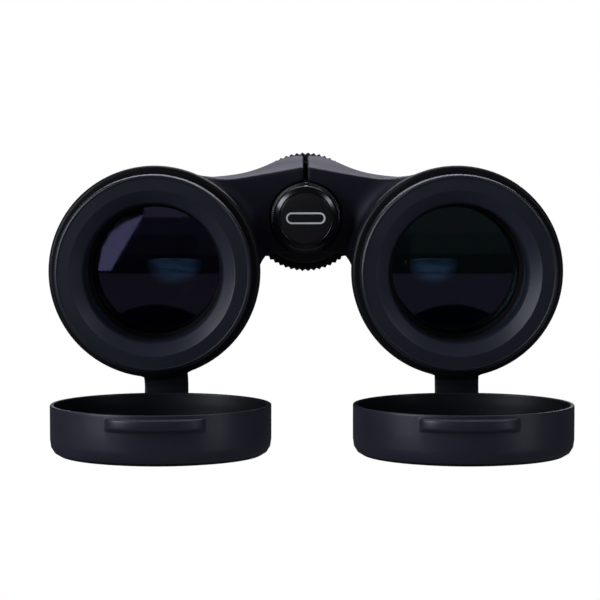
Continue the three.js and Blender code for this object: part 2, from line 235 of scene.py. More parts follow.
def painted_prism_glow(side):
    """Painted light: an emission on the helper prism in place of the dim blue light that comes
    forward through a prism, streaked and fading to its edges.
    """
    material = glass(f"{side}_prism_glow", (0.004, 0.012, 0.02), 1.0, (0.4, 0.7, 1.0), 0.12)
    nodes = material.node_tree.nodes
    links = material.node_tree.links
    shader = nodes["Principled BSDF"]
    coordinates = nodes.new("ShaderNodeTexCoord")
    streaks = noise(nodes, coordinates, 260, 3.0, (0.5, 1, 2.2))
    glow = ramp(nodes, streaks, (0.004, 0.014, 0.028), (0.029, 0.064, 0.132), 0.3, 0.75)
    place = nodes.new("ShaderNodeMapping")
    x, z = WINDOW_X[side], BARREL_Z - WINDOW_DROP
    across, down = WINDOW_HALF_WIDTH[side], WINDOW_HALF_HEIGHT
    place.inputs["Scale"].default_value = (1 / (across * MM), 0, 1 / (down * MM))
    place.inputs["Location"].default_value = (-x / across, 0, -z / down)
    fade = nodes.new("ShaderNodeTexGradient")
    fade.gradient_type = "SPHERICAL"
    links.new(coordinates.outputs["Object"], place.inputs["Vector"])
    links.new(place.outputs["Vector"], fade.inputs["Vector"])
    edge = ramp(nodes, fade.outputs["Fac"], grey(0.0), grey(1.0), 0.0, 0.5)
    mixer = nodes.new("ShaderNodeMix")
    mixer.data_type = "RGBA"
    mixer.blend_type = "MULTIPLY"
    mixer.inputs["Factor"].default_value = 1.0
    links.new(glow, mixer.inputs["A"])
    links.new(edge, mixer.inputs["B"])
    # Painted light: the helper prism glows by its own emission, though it is no lamp.
    links.new(mixer.outputs["Result"], shader.inputs["Emission Color"])
    shader.inputs["Emission Strength"].default_value = PAINTED_GLOW_STRENGTH
    return material


# Painted glow for the helper prisms.
MATERIALS["right_glow"] = painted_prism_glow("right")
MATERIALS["left_glow"] = painted_prism_glow("left")


# ---- Mesh making ----


def piece(name, vertices, faces, look, body=None, nodes=(), crease=32):
    """A new object from millimetre vertices, riding on a body and standing for CAD nodes."""
    mesh = bpy.data.meshes.new(name)
    mesh.from_pydata([tuple(v) for v in np.asarray(vertices) * MM], [], faces)
    bm = bmesh.new()
    bm.from_mesh(mesh)
    bmesh.ops.remove_doubles(bm, verts=bm.verts, dist=1e-6)
    bmesh.ops.recalc_face_normals(bm, faces=bm.faces)
    bm.to_mesh(mesh)
    bm.free()
    mesh.shade_smooth()
    mesh.set_sharp_from_angle(angle=math.radians(crease))
    mesh.materials.append(MATERIALS[look])
    obj = bpy.data.objects.new(name, mesh)
    bpy.context.collection.objects.link(obj)
    if body:
        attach(obj, body)
    if nodes:
        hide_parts(*nodes)
    return obj


def loops_joined(rows, count, closed=True):
    """Quads between rows of count vertices. Each row is a loop, and so are the rows if closed."""
    faces = []
    for i in range(rows if closed else rows - 1):
        j = (i + 1) % rows
        for k in range(count):
            m = (k + 1) % count
            faces.append((i * count + k, i * count + m, j * count + m, j * count + k))
    return faces


def rounded(outline, steps=4):
    """The outline with each corner that has a setback turned into a smooth bend."""
    points = []
    for i, (r, t, *setback) in enumerate(outline):
        corner = np.array([r, t])
        if not setback or setback[0] == 0:
            points.append(corner)
            continue
        before = np.array(outline[i - 1][:2]) - corner
        after = np.array(outline[(i + 1) % len(outline)][:2]) - corner
        reach = min(setback[0], 0.48 * np.hypot(*before), 0.48 * np.hypot(*after))
        start = corner + before / (np.hypot(*before) + 1e-9) * reach
        end = corner + after / (np.hypot(*after) + 1e-9) * reach
        for k in range(steps + 1):
            u = k / steps
            points.append((1 - u) ** 2 * start + 2 * u * (1 - u) * corner + u * u * end)
    return np.array(points)


def turned(name, outline, origin, look, slot, body=None, nodes=(), sides=96, crease=32):
    """Revolves an outline about the Y axis through origin.
    The outline may be a function of the angle, for teeth, ribs and tabs."""
    shape = outline if callable(outline) else lambda angle: outline
    rings = []
    for i in range(sides):
        angle = 2 * math.pi * i / sides
        profile = rounded(shape(angle))
        rings.append(np.stack([profile[:, 0] * math.sin(angle), profile[:, 1],
                               profile[:, 0] * math.cos(angle)], axis=1))
    count = len(rings[0])
    on_axis = rings[0][0][0] == 0 and rings[0][0][2] < 1e-9
    faces = []
    for i in range(sides):
        j = (i + 1) % sides
        for k in range(count - 1 if on_axis else count):
            m = (k + 1) % count
            faces.append((i * count + k, j * count + k, j * count + m, i * count + m))
    vertices = np.concatenate(rings) + origin
    return piece(name, vertices, faces, look, body, nodes, crease)


def triangle_wave(angle, teeth):
    """Runs 0, 1, 0 once for each tooth."""
    phase = angle * teeth / (2 * math.pi) % 1
    return 1 - abs(2 * phase - 1)


def ribbed(outline, teeth, depth, low_r, t_range):
    """The outline with shallow ribs cut into the wall beyond low_r, between two stations."""
    def shape(angle):
        cut = depth * min(1, 2.4 * max(0, triangle_wave(angle, teeth) - 0.55))
        return [
            (r - cut, t, *rest) if r >= low_r and t_range[0] <= t <= t_range[1] else (r, t, *rest)
            for r, t, *rest in outline
        ]
    return shape


def threaded(r, depth, t0, t1, turns):
    """Outline points of ring grooves in a wall of radius r, which look like a fine thread."""
    pitch = (t1 - t0) / turns
    points = []
    for i in range(turns):
        points += [(r, t0 + i * pitch, 0), (r + depth, t0 + (i + 0.5) * pitch, 0)]
    return points


def lens_outline(edge_r, front_centre, front_edge, back_edge, back_centre, steps=8):
    """A lens with parabolic faces, from the axis and back to it."""
    ks = [i / steps for i in range(steps + 1)]
    front = [(edge_r * k, front_centre + (front_edge - front_centre) * k * k) for k in ks]
    back = [(edge_r * k, back_centre + (back_edge - back_centre) * k * k) for k in ks]
    return front + back[::-1]


# ---- Armour: barrel and half bridge as one moulded skin ----

# The barrel's radius at a few stations, and the shape of the bridge.
ARMOUR_STATIONS = [13.2, 14.2, 22, 34, 46, 58, 84, 90, 92]
ARMOUR_RADII = [24.9, 25.35, 25.0, 23.8, 23.0, 22.5, 22.4, 21.6, 20.9]
ARMOUR_T = (13.2, 92.0)
ARMOUR_WALL = 1.8
SEAM = 0.55
HINGE_R = 9.0
BRIDGE_Y = (6.0, 44.0)
TABLE_STEP = 0.25  # between the stations of RADIUS_TABLE
BLUR_REACH = 24  # steps to either side that smooth a radius
BLUR_WIDTH = 2.0
RIB_PITCH = 4.4
RIB_DEPTH = 0.38
RIB_STATIONS = (33, 73)
RIB_HALF_ANGLE = 0.95


def smoothed_radius():
    """A table of the armour's radius, with its straight runs blended into one curve."""
    stations = np.arange(0, 110, TABLE_STEP)
    radii = np.interp(stations, ARMOUR_STATIONS, ARMOUR_RADII)
    reach = np.arange(-BLUR_REACH, BLUR_REACH + 1)
    weights = np.exp(-0.5 * (reach * TABLE_STEP / BLUR_WIDTH) ** 2)
    padded = np.pad(radii, BLUR_REACH, mode="edge")
    return stations, np.convolve(padded, weights / weights.sum(), mode="valid")


RADIUS_TABLE = smoothed_radius()


def smooth_max(a, b, k):
    """The larger of a and b, rounded over where they differ by less than k."""
    h = np.clip(0.5 + 0.5 * (a - b) / k, 0, 1)
    return b + (a - b) * h + k * h * (1 - h)


def smooth_min(a, b, k):
    """The smaller of a and b, rounded over where they differ by less than k."""
    return -smooth_max(-a, -b, k)


def barrel_field(x, y, z):
    """Distance to the barrel's skin, open at both ends, with grip ribs on its outer side."""
    t = y - FRONT_Y
    dx = x - BARREL_X
    dz = z - BARREL_Z
    radius = np.interp(t, *RADIUS_TABLE)
    side = np.arctan2(dz, dx)
    first, last = RIB_STATIONS
    window = np.clip((RIB_HALF_ANGLE - np.abs(side + 0.1)) / 0.12, 0, 1)
    window = window * np.clip((t - first) / 2, 0, 1)
    window = window * np.clip((last - t) / 2, 0, 1)
    ribs = np.clip(0.35 - np.cos(2 * np.pi * t / RIB_PITCH), 0, 1)
    return np.hypot(dx, dz) - radius + RIB_DEPTH * window * ribs


def bridge_field(x, y, z):
    """Distance to the half bridge: a saddle that stands higher at its rear, near the hinge."""
    along = np.clip((y - BRIDGE_Y[0]) / (BRIDGE_Y[1] - BRIDGE_Y[0]), 0, 1)
    out = np.abs(x)
    front_top = 12.75 - 0.195 * out + 0.0013 * out**2
    rear_top = 8.9 + 6.2 / (1 + (out / 11.6) ** 3)
    top = (z - (front_top + (rear_top - front_top) * along)) / 1.06
    under = -9.0 - 0.6 * np.clip(out - 9.8, 0, 4) - z
    body = smooth_max(top, under, 0.8)
    ends = np.maximum(BRIDGE_Y[0] - y, y - BRIDGE_Y[1])
    return smooth_max(smooth_max(body, ends, 0.8), out - 34, 0.5)


def armour_field(x, y, z):
    """Negative inside the rubber of the left half."""
    t = y - FRONT_Y
    blend = 0.8 + 4.7 * np.clip((41 - y) / 8, 0, 1)
    barrel = barrel_field(x, y, z)
    joined = smooth_min(barrel, bridge_field(x, y, z), blend)
    ends = np.maximum(ARMOUR_T[0] - t, t - ARMOUR_T[1])
    outer = smooth_max(smooth_max(joined, ends, 0.9), SEAM - x, 0.5)
    radius = np.hypot(x, z)
    wedge = 0.475 * (-z) - x + 0.15
    outer = np.maximum(outer, HINGE_R - radius)
    outer = np.where(z < 0, np.maximum(outer, wedge), outer)
    return np.maximum(outer, -(joined + ARMOUR_WALL))


def surface_net(field, low, high, step):
    """Quads over the zero surface of field, one vertex in each grid cell that it crosses."""
    axes = [np.arange(a, b + step, step) for a, b in zip(low, high)]
    values = field(*np.meshgrid(*axes, indexing="ij"))
    inside = values < 0
    size = np.array(values.shape) - 1
    corners = list(itertools.product((0, 1), repeat=3))

    def shifted(array, offset):
        return array[tuple(slice(o, o + n) for o, n in zip(offset, size))]

    filled = sum(shifted(inside, c).astype(np.int8) for c in corners)
    cells = np.argwhere((filled > 0) & (filled < 8))
    index = np.full(size, -1)
    index[tuple(cells.T)] = np.arange(len(cells))
    total = np.zeros((len(cells), 3))
    hits = np.zeros(len(cells))
    for axis in range(3):
        unit = np.eye(3, dtype=int)[axis]
        for corner in corners:
            if corner[axis]:
                continue
            start = cells + corner
            a = values[tuple(start.T)]
            b = values[tuple((start + unit).T)]
            crossed = (a < 0) != (b < 0)
            share = np.where(crossed, a / np.where(crossed, a - b, 1), 0)
            total += np.where(crossed[:, None], corner + share[:, None] * unit, 0)
            hits += crossed
    vertices = np.array(low) + step * (cells + total / hits[:, None])
    for _ in range(3):
        vertices = settle(field, vertices, step)
    faces = []
    for axis in range(3):
        u, v = [i for i in range(3) if i != axis]
        lower = [slice(1, -1)] * 3
        upper = [slice(1, -1)] * 3
        lower[axis] = slice(0, -1)
        upper[axis] = slice(1, None)
        changed = np.argwhere(inside[tuple(lower)] != inside[tuple(upper)])
        changed[:, [u, v]] += 1
        ring = []
        for du, dv in ((-1, -1), (0, -1), (0, 0), (-1, 0)):
            cell = changed.copy()
            cell[:, u] += du
            cell[:, v] += dv
            ring.append(index[tuple(cell.T)])
        faces.append(np.stack(ring, axis=1))
    return vertices, np.concatenate(faces)


def settle(field, points, step):
    """Moves points towards the zero surface of field, by less than half a cell."""
    reach = 0.02
    here = field(*points.T)
    slope = np.stack([field(*(points + reach * unit).T) - here for unit in np.eye(3)], axis=1)
    slope /= reach
    move = -here[:, None] * slope / np.maximum((slope**2).sum(1), 0.25)[:, None]
    return points + np.clip(move, -0.4 * step, 0.4 * step)


def armour_halves():
    """The left skin is made from the field, and the right one is its mirror image."""
    step = 0.6
    low = (-0.6, FRONT_Y + ARMOUR_T[0] - 1.5, BARREL_Z - 27)
    high = (BARREL_X + 27, FRONT_Y + ARMOUR_T[1] + 1.5, 16)
    vertices, faces = surface_net(armour_field, low, high, step)
    for side, sign in SIDES.items():
        piece(f"{side}_armour_skin", vertices * (sign, 1, 1), faces.tolist(), "armour",
              f"{side}_barrel", (f"{side}_armour",), crease=50)


def seam_shade_lip():
    """Painted shade: a near-black strip on the right half, shaped as a thin rubber lip, that
    darkens the gap between the two halves.
    """
    section = [(SEAM * u, v) for u, v in ((-1.3, -1), (-0.55, -1), (-0.55, 1), (-1.3, 1))]
    path = [(0, y, HINGE_R + 0.55) for y in (BRIDGE_Y[0] + 0.9, BRIDGE_Y[1] - 1.2)]
    heights = [1.5, 4.3]
    sections = [[(u, 0, 0.15 + (v + 1) * h / 2) for u, v in section] for h in heights]
    swept("right_seam_shade_lip", path, sections, "seal", "right_barrel")


# ---- Objective ends ----


def bezel_outline():
    """Half section of a bezel: grooved bore, funnel, face, side and the tether ring's groove."""
    thread = threaded(16.7, 0.22, 8, 15.2, 9)
    return [
        *thread[::-1], (16.75, 4.0), (17.15, 2.6, 0.15), (20.0, 0.05, 0.25), (23.0, 0.35, 0.1),
        (23.15, 0.1, 0.12), (23.7, 0.4, 0.25), (23.9, 1.1, 0.3), (23.9, 8, 0.2), (22.6, 8),
        (22.6, 12.9, 0.3), (19.5, 12.9), (19.5, 16, 0.2), (16.7, 16),
    ]


def objective_end(side):
    """Bezel, glasses and fittings at the front of a barrel."""
    origin = ORIGIN[side]
    body = f"{side}_barrel"

    def add(node, outline, look, slot, **options):
        turned(f"{side}_{node}_fine", outline, origin, look, slot, body, (f"{side}_{node}",),
               **options)

    coating = "coat_violet" if side == "right" else "coat_green"
    add("objective_bezel", bezel_outline(), "bezel", "black_plastic", sides=144)
    paint_funnel_paler(f"{side}_objective_bezel_fine", origin)
    add("objective_cell", [
        (15.7, 16.3, 0.2), (19.9, 16.3, 0.2), (19.9, 29, 0.2), (17, 29), (17, 17.3), (15.9, 17.3),
    ], "matt", "black_metal")
    add("objective_crown", lens_outline(16.7, 17.6, 18.05, 21.9, 22.9), coating, "coated_glass",
        crease=60)
    dull_rear(f"{side}_objective_crown_fine")
    add("objective_flint", lens_outline(16.7, 23.2, 22.2, 25.9, 24.6), "clear", "clear_glass",
        crease=60)
    add("objective_retainer", [
        (14.6, 26.3, 0.4), (16.7, 26.3), *threaded(16.5, 0.2, 26.4, 28.4, 4), (16.7, 28.5),
        (14.6, 28.5, 0.2),
    ], "matt", "black_metal")
    add("objective_seal", [
        (17.6, 29.3, 0.6), (19.7, 29.3, 0.6), (19.7, 30.7, 0.6), (17.6, 30.7, 0.6),
    ], "seal", "seal_rubber", sides=64)
    add("prism_cage", [
        (15.8, 60), (17.9, 60, 0.3), (17.9, 72), (17.5, 72.5), (17.5, 75.5), (17.9, 76),
        (17.9, 88, 0.3), (15.8, 88, 0.3),
    ], "matt", "black_plastic", sides=64)


def paint_funnel_paler(name, origin):
    """The funnel in front of a lens is painted paler than the bezel's face, as painted light on a
    face the lamps barely reach, and is a little duller.
    """
    mesh = bpy.data.objects[name].data
    mesh.materials.append(MATERIALS["funnel"])
    for face in mesh.polygons:
        x, station, z = np.array(face.center) / MM - origin
        face.material_index = int(math.hypot(x, z) < 19.9 and 0.1 < station < 4.2)


def dull_rear(name):
    """The rear face of a front lens is cemented to the next, so it hardly mirrors anything."""
    mesh = bpy.data.objects[name].data
    mesh.materials.append(MATERIALS["cement"])
    for face in mesh.polygons:
        face.material_index = int(face.normal[1] > 0.5)


PAD_RISE = 0.35
PAD_HALF_ANGLE = 0.235


def tether_ring(side, turn):
    """The rubber ring round the bezel's groove. Its pad lies under the strap's root."""
    t0, t1 = 8.3, 12.9

    def shape(angle):
        from_pad = abs((angle - turn) % (2 * math.pi) - math.pi)
        pad = PAD_RISE * min(1, max(0, (PAD_HALF_ANGLE - from_pad) / 0.05))
        return [
            (22.95, t0, 0.15), (25.3 + pad, t0, 0.5), (25.9 + pad, t0 + 0.7, 0.5),
            (25.9 + pad, t1 - 0.7, 0.5), (25.3 + pad, t1, 0.4), (22.95, t1, 0.15),
        ]
    turned(f"{side}_tether_ring_fine", shape, ORIGIN[side], "ring", "soft_rubber",
           f"{side}_tether", (f"{side}_tether_ring",), sides=192)


CAP_R = 26.0
CAP_DEPTH = 12.0
CAP_SHADE_INSET = 1.05  # how far in from the outside the painted shade inside the cap starts
TAB_HALF_WIDTH = 11.4
TAB_REACH = 1.8
STRAP_HALF_WIDTH = 5.35


def cap_outline(angle):
    """Half section of an open cap, from the middle of its base outside to the middle inside.
    The lift tab at the front is a low bar with short rounded ends, deepest at its middle."""
    across = abs(CAP_R * math.sin(angle)) / TAB_HALF_WIDTH
    inside = across < 1 and math.cos(angle) > 0
    bulge = 0.75 * (1 - across**6) + 0.25 * (1 - across**2) if inside else 0
    tab = CAP_R + TAB_REACH * bulge
    return [
        (0, -12), (14, -12), (CAP_R - 0.02, -12, 4.0), (CAP_R, -3.9, 0.3), (tab, -3.3, 0.5),
        (tab, -1.0, 0.5), (CAP_R, -0.75, 0.05), (CAP_R, 0, 0.3), (CAP_R - 1.0, 0, 0.3),
        (CAP_R - 1.5, -2.5, 1.0), (CAP_R - 1.5, -10.5, 2.2), (14, -10.5), (0, -10.5),
    ]


def cap_centre(side):
    """Middle of a cap's mouth: its box is as wide as the cap, and its base is the lowest face."""
    low, high = box_mm(f"{side}_objective_cap")
    return np.array([(low[0] + high[0]) / 2, low[1] + TAB_REACH + CAP_R, low[2] + CAP_DEPTH])


def objective_cap(side):
    """An open cap with its mouth up; its inside is rougher and painted darker as shade."""
    centre = cap_centre(side)
    obj = turned(f"{side}_objective_cap_fine", cap_outline, (0, 0, 0), "cap", "satin_plastic",
                 sides=400, crease=40)
    upright = Matrix(((1, 0, 0, 0), (0, 0, -1, 0), (0, 1, 0, 0), (0, 0, 0, 1)))
    # Painted shade: the faces inside the cup get the darker material.
    obj.data.materials.append(MATERIALS["cap_inside_shade"])
    for face in obj.data.polygons:
        radius, depth = math.hypot(face.center[0], face.center[2]) / MM, -face.center[1] / MM
        face.material_index = int(radius < CAP_R - CAP_SHADE_INSET and 0.1 < depth < 11.5)
    obj.data.transform(Matrix.Translation(Vector(centre * MM)) @ upright)
    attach(obj, f"{side}_cap")
    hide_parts(f"{side}_objective_cap")


def swept(name, path, sections, look, body=None, nodes=()):
    """Joins closed sections, one for each point of a path, and closes both ends."""
    vertices = np.concatenate([np.asarray(s) + p for p, s in zip(path, sections)])
    count = len(sections[0])
    faces = loops_joined(len(path), count, closed=False)
    faces.append(tuple(range(count)))
    faces.append(tuple(range((len(path) - 1) * count, len(path) * count)))
    return piece(name, vertices, faces, look, body, nodes)


def rounded_bar(half_width, half_height, corner, steps=4):
    """Points round a rectangle with round corners, in two coordinates."""
    points = []
    for quarter, (su, sv) in enumerate(((1, 1), (-1, 1), (-1, -1), (1, -1))):
        for k in range(steps + 1):
            a = (quarter + k / steps) * math.pi / 2
            points.append((su * (half_width - corner) + corner * math.cos(a),
                           sv * (half_height - corner) + corner * math.sin(a)))
    return points


def strap(side, turn):
    """The rubber strap from the ring's pad down the back of the open cap.
    Each station holds a place, half the thickness there and the lean of the section."""
    centre = cap_centre(side)
    origin = ORIGIN[side]
    pad = np.array([-25.2 * math.sin(turn), 10.6, -25.2 * math.cos(turn)])
    foot_x = centre[0] - origin[0]
    rear = centre[1] - origin[1] + CAP_R
    rim = centre[2] - origin[2]
    stations = [
        (pad, 1.9, turn), (pad * (1.055, 1, 1.055), 1.25, turn),
        (np.array([foot_x, 10.3, rim + 1.6]), 0.95, turn * 0.6),
        (np.array([foot_x, rear + 1.0, rim - 0.2]), 0.95, 0),
        (np.array([foot_x, rear + 0.75, rim - 2.4]), 0.95, 0),
        (np.array([foot_x, rear + 0.55, rim - 4.6]), 0.85, 0),
        (np.array([foot_x, rear + 0.0, rim - 6.6]), 0.55, 0),
    ]
    fine = []
    for (p0, h0, a0), (p1, h1, a1) in zip(stations, stations[1:]):
        for k in range(6):
            u = k / 6
            fine.append((p0 + (p1 - p0) * u, h0 + (h1 - h0) * u, a0 + (a1 - a0) * u))
    fine.append(stations[-1])
    sections = []
    for _, half, lean in fine:
        bar = rounded_bar(STRAP_HALF_WIDTH, half, min(0.6, half * 0.8))
        sections.append([(u * math.cos(lean), v, -u * math.sin(lean)) for u, v in bar])
    obj = swept(f"{side}_cap_strap", [p + origin for p, _, _ in fine], sections, "strap")
    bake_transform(obj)


# ---- Eyepiece ends ----


def eyepiece_end(side):
    """Ocular, dioptre ring or collar, and eyecup at the rear of a barrel."""
    origin = ORIGIN[side]
    barrel = f"{side}_barrel"
    ocular = "right_ocular" if side == "right" else barrel

    def add(node, outline, look, slot, body, **options):
        turned(f"{node}_fine", outline, origin, look, slot, body, (node,), **options)

    collar = [
        (15.4, 92.5), (19.7, 92.5, 0.3), (20.3, 93.1, 0.3), (20.3, 97.9, 0.3), (19.7, 98.5, 0.3),
        (15.4, 98.5),
    ]
    if side == "right":
        ribs = ribbed(collar, 60, 0.45, 20.0, (93, 98))
        add("right_diopter_ring", ribs, "grip", "soft_rubber", "diopter_ring", sides=480)
    else:
        add("left_eyepiece_collar", collar, "grip", "soft_rubber", barrel, sides=128)
    add(f"{side}_ocular_tube", [
        (13.4, 92.3), (15.0, 92.3, 0.2), (15.0, 119, 0.3), (13.4, 119, 0.3),
        *threaded(13.4, 0.2, 116.2, 118.6, 4)[::-1],
    ], "matt", "black_metal", barrel)
    add(f"{side}_ocular_cell", [
        (9.5, 96.5), (13, 96.5, 0.2), (13, 116, 0.2), (11.6, 116, 0.3), (10.8, 115, 0.2),
        (10.8, 97.5), (9.5, 97.5),
    ], "matt", "black_metal", ocular)
    add(f"{side}_field_lens", lens_outline(10.5, 98, 99.5, 101.5, 102), "clear", "clear_glass",
        ocular, crease=60)
    add(f"{side}_eye_lens", lens_outline(10.5, 109.5, 110.5, 113, 114.6), "coat_eye",
        "coated_glass", ocular, crease=60)
    add(f"{side}_eyecup_sleeve", [
        (15.4, 99, 0.2), (16.6, 99, 0.3), (16.6, 103), (16.45, 103.2), (16.45, 104), (16.6, 104.2),
        (16.6, 119, 0.3), (15.4, 119, 0.2),
    ], "plastic", "black_plastic", f"{side}_sleeve")
    add(f"{side}_eyecup", [
        (17.0, 99.5, 0.2), (18.6, 99.5, 0.3), (19.2, 100.2, 0.3), (19.2, 102.2, 0.3),
        (18.9, 102.7), (18.9, 122, 0.3), (15.7, 122, 0.4), (15.7, 120.2, 0.4), (17.0, 120.2),
    ], "plastic", "black_plastic", f"{side}_eyecup", sides=128)
    rubber = [
        (19.1, 103, 0.2), (20.1, 103, 0.4), (20.3, 105), (20.3, 118.5), (20.2, 119.5), (20.3, 121),
        (20.2, 123, 1.4), (18.9, 124, 0.9), (17.2, 123.9, 0.8), (16.1, 122.9, 0.5),
        (16.1, 122.3, 0.1), (19.1, 122.3),
    ]
    ribs = ribbed(rubber, 72, 0.35, 20.25, (104, 119))
    add(f"{side}_eyecup_rubber", ribs, "eyecup", "soft_rubber", f"{side}_eyecup", sides=576)


# ---- Hinge, hub and focus wheel ----


def pill_mark():
    """A plain outlined pill on the hub cap, in place of any lettering."""
    half_length, half_height, line, lift = 4.9, 1.45, 0.42, 0.05

    def loop(inset, y):
        r = half_height - inset
        points = []
        for k in range(48):
            a = 2 * math.pi * k / 48
            shift = (half_length - half_height) * (1 if math.cos(a) >= 0 else -1)
            points.append((shift + r * math.cos(a), y, r * math.sin(a)))
        return points

    rings = [loop(0, 0.12), loop(0, -lift), loop(line, -lift), loop(line, 0.12)]
    faces = loops_joined(len(rings), len(rings[0]))
    piece("hub_pill_mark", np.concatenate(rings), faces, "mark", "hub_cap")


def hub_and_hinge():
    """Everything that turns or lies on the hinge's axis."""
    hub = [
        (0, 0.0), (6.3, 0.0, 0.08), (6.45, 0.16), (6.6, 0.03, 0.05), (6.75, 0.05, 0.1),
        (7.9, 0.68, 0.35), (8.1, 1.5, 0.3), (8.1, 2.9), (8.7, 3.1, 0.2), (8.85, 5.5, 0.3),
        (2.9, 5.5), *[(2.9 - 0.3 * (k % 2), 6 + 0.4 * k, 0) for k in range(15)], (0, 12),
    ]
    turned("hub_cap_fine", ribbed(hub, 90, 0.3, 8.65, (3.0, 5.6)), HUB, "hub", "black_metal",
           "hub_cap", ("hub_cap",), sides=540)
    pill_mark()
    turned("hinge_axle_fine", [
        (0, 14.5), (4.2, 14.5), (4.2, 6), (7.5, 6, 0.3), (7.5, 7.4, 0.2), (5.2, 7.4),
        (5.2, 18.9, 0.2), (4, 18.9), (4, 62, 0.3), (0, 62),
    ], HUB, "steel", "steel", "right_barrel", ("hinge_axle",), sides=64)
    turned("tripod_insert_fine", [
        (3.85, 6.4, 0.2), (3.85, 14, 0.2), (3.25, 14),
        *[(3.25 + 0.25 * (k % 2), 13.7 - 0.35 * k, 0) for k in range(21)],
    ], HUB, "steel", "steel", "right_barrel", ("tripod_insert",), sides=64)
    screw = [(5.2 - 0.35 * (k % 2), 19.6 + 0.45 * k, 0) for k in range(25)]
    turned("focus_screw_fine", [(4.35, 19.3), (5.2, 19.3), *screw, (5.2, 44.7, 0.2), (4.35, 44.7)],
           HUB, "brass", "brass", "focus_wheel", ("focus_screw",), sides=64)
    turned("hinge_washer_fine", [
        (5.6, 44, 0.1), (8.2, 44, 0.1), (8.2, 44.7, 0.1), (5.6, 44.7, 0.1),
    ], HUB, "steel", "steel", "right_barrel", ("hinge_washer",), sides=64)
    turned("focus_wheel_core_fine", [
        (4.45, 45), (13.2, 45, 0.2), (13.62, 45.9, 0.2), (13.62, 61.2, 0.2), (13.0, 62, 0.4),
        (10.2, 62, 0.2), (9.7, 61.4, 0.2), (4.45, 61.4),
    ], HUB, "plastic", "black_plastic", "focus_wheel", ("focus_wheel_core",), sides=96)
    turned("hinge_end_cap_fine", [
        (0, 62.3), (9, 62.3, 0.1), (9, 64.6, 0.9), (7.4, 66, 0.7), (5.5, 66, 0.1), (5.2, 65.8),
        (0, 65.8),
    ], HUB, "hub", "black_metal", "right_barrel", ("hinge_end_cap",), sides=96)

    def grip(angle):
        tooth = 0.55 * (1 - triangle_wave(angle, 64))
        return [
            (13.7, 46, 0.2), (15.15 - tooth, 46, 0.1), (15.75 - tooth, 46.6, 0.2),
            (15.75 - tooth, 60.4, 0.2), (15.15 - tooth, 61, 0.1), (13.7, 61, 0.2),
        ]

    turned("focus_wheel_grip_fine", grip, HUB, "grip", "armour_rubber", "focus_wheel",
           ("focus_wheel_grip",), sides=512, crease=25)


def focusing_lenses():
    """The lens in its cell that slides in each barrel."""
    for side in SIDES:
        origin = ORIGIN[side]
        body = f"{side}_focus_carriage"
        turned(f"{side}_focus_cell_fine", [
            (11.3, 43, 0.2), (14.2, 43, 0.3), (14.2, 49, 0.3), (11.3, 49, 0.2),
        ], origin, "matt", "black_metal", body, (f"{side}_focus_cell",), sides=64)
        turned(f"{side}_focus_lens_fine", lens_outline(11, 45.6, 44, 48, 46.9), origin, "clear",
               "coated_glass", body, (f"{side}_focus_lens",), sides=64, crease=60)


BAFFLE_R = 15.6
BAFFLE_SIDES = 64


def painted_shade_baffle(side):
    """A black baffle in front of the prisms, painted shade in place of the unlit prisms, with a
    lens-shaped window low in it where the painted glow shows.
    """
    origin = ORIGIN[side]
    angles = np.linspace(0, 2 * np.pi, BAFFLE_SIDES, False)
    rim = [(BAFFLE_R * math.cos(a), BAFFLE_R * math.sin(a)) for a in angles]
    centre_x = WINDOW_X[side] - origin[0]
    width, top, drop = 8.4, 1.1, 6.2
    window = []
    for a in angles:
        u, v = math.cos(a), math.sin(a)
        window.append((centre_x + width * u, (top if v > 0 else drop) * v - 0.3))
    vertices = []
    for y, loop in ((60.3, rim), (60.3, window), (61.3, window), (61.3, rim)):
        vertices += [origin + (u, y, v) for u, v in loop]
    faces = loops_joined(4, BAFFLE_SIDES)
    piece(f"{side}_prism_shade_baffle", vertices, faces, "matt", f"{side}_barrel")


def strap_lug(side):
    """A cast strap loop on a foot plate, on the outer side of the barrel."""
    sign = SIDES[side]
    origin = ORIGIN[side]
    loop = rounded([(23.4, 75.0, 1.2), (27.4, 77.6, 1.6), (27.4, 88.4, 1.6), (23.4, 91.0, 1.2)], 6)
    count = len(loop)
    path = []
    sections = []
    for i in range(count):
        tangent = loop[(i + 1) % count] - loop[i - 1]
        tangent /= np.hypot(*tangent)
        normal = np.array([tangent[1], -tangent[0]])
        bar = rounded_bar(0.85, 2.5, 0.6)
        path.append(origin + (sign * loop[i][0], loop[i][1], 0))
        sections.append([(sign * normal[0] * u, normal[1] * u, v) for u, v in bar])
    vertices = np.concatenate([np.array(s) + p for p, s in zip(path, sections)])
    faces = loops_joined(count, len(sections[0]))
    piece(f"{side}_strap_lug_loop", vertices, faces, "plastic", f"{side}_barrel",
          (f"{side}_strap_lug",))


def finish_cad_nodes():
    """Materials for the CAD nodes whose own shape stays."""
    for side in SIDES:
        # The helper prism gets the painted glow.
        looks = {"housing": "casting", "focus_arm": "brass", "helper_prism": f"{side}_glow",
                 "roof_prism": "prism"}
        for node, look in looks.items():
            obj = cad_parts[f"{side}_{node}"]
            obj.data.materials.clear()
            obj.data.materials.append(MATERIALS[look])


# ---- Stage, lights and camera ----

FLOOR_DROP = 0.09  # metres below the object


def camera():
    """A long lens in front of the object and slightly above it."""
    elevation = math.radians(3.8)
    distance = 640.0
    target = np.array([-1.42, FRONT_Y + 10.6, BARREL_Z - 7.0])
    direction = np.array([0, math.cos(elevation), -math.sin(elevation)])
    data = bpy.data.cameras.new("camera")
    data.sensor_width = 36
    data.lens = 156.72
    data.clip_start = 0.01
    obj = bpy.data.objects.new("camera", data)
    obj.location = Vector((target - distance * direction) * MM)
    obj.rotation_euler = (math.pi / 2 - elevation, 0, 0)
    bpy.context.collection.objects.link(obj)
    bpy.context.scene.camera = obj


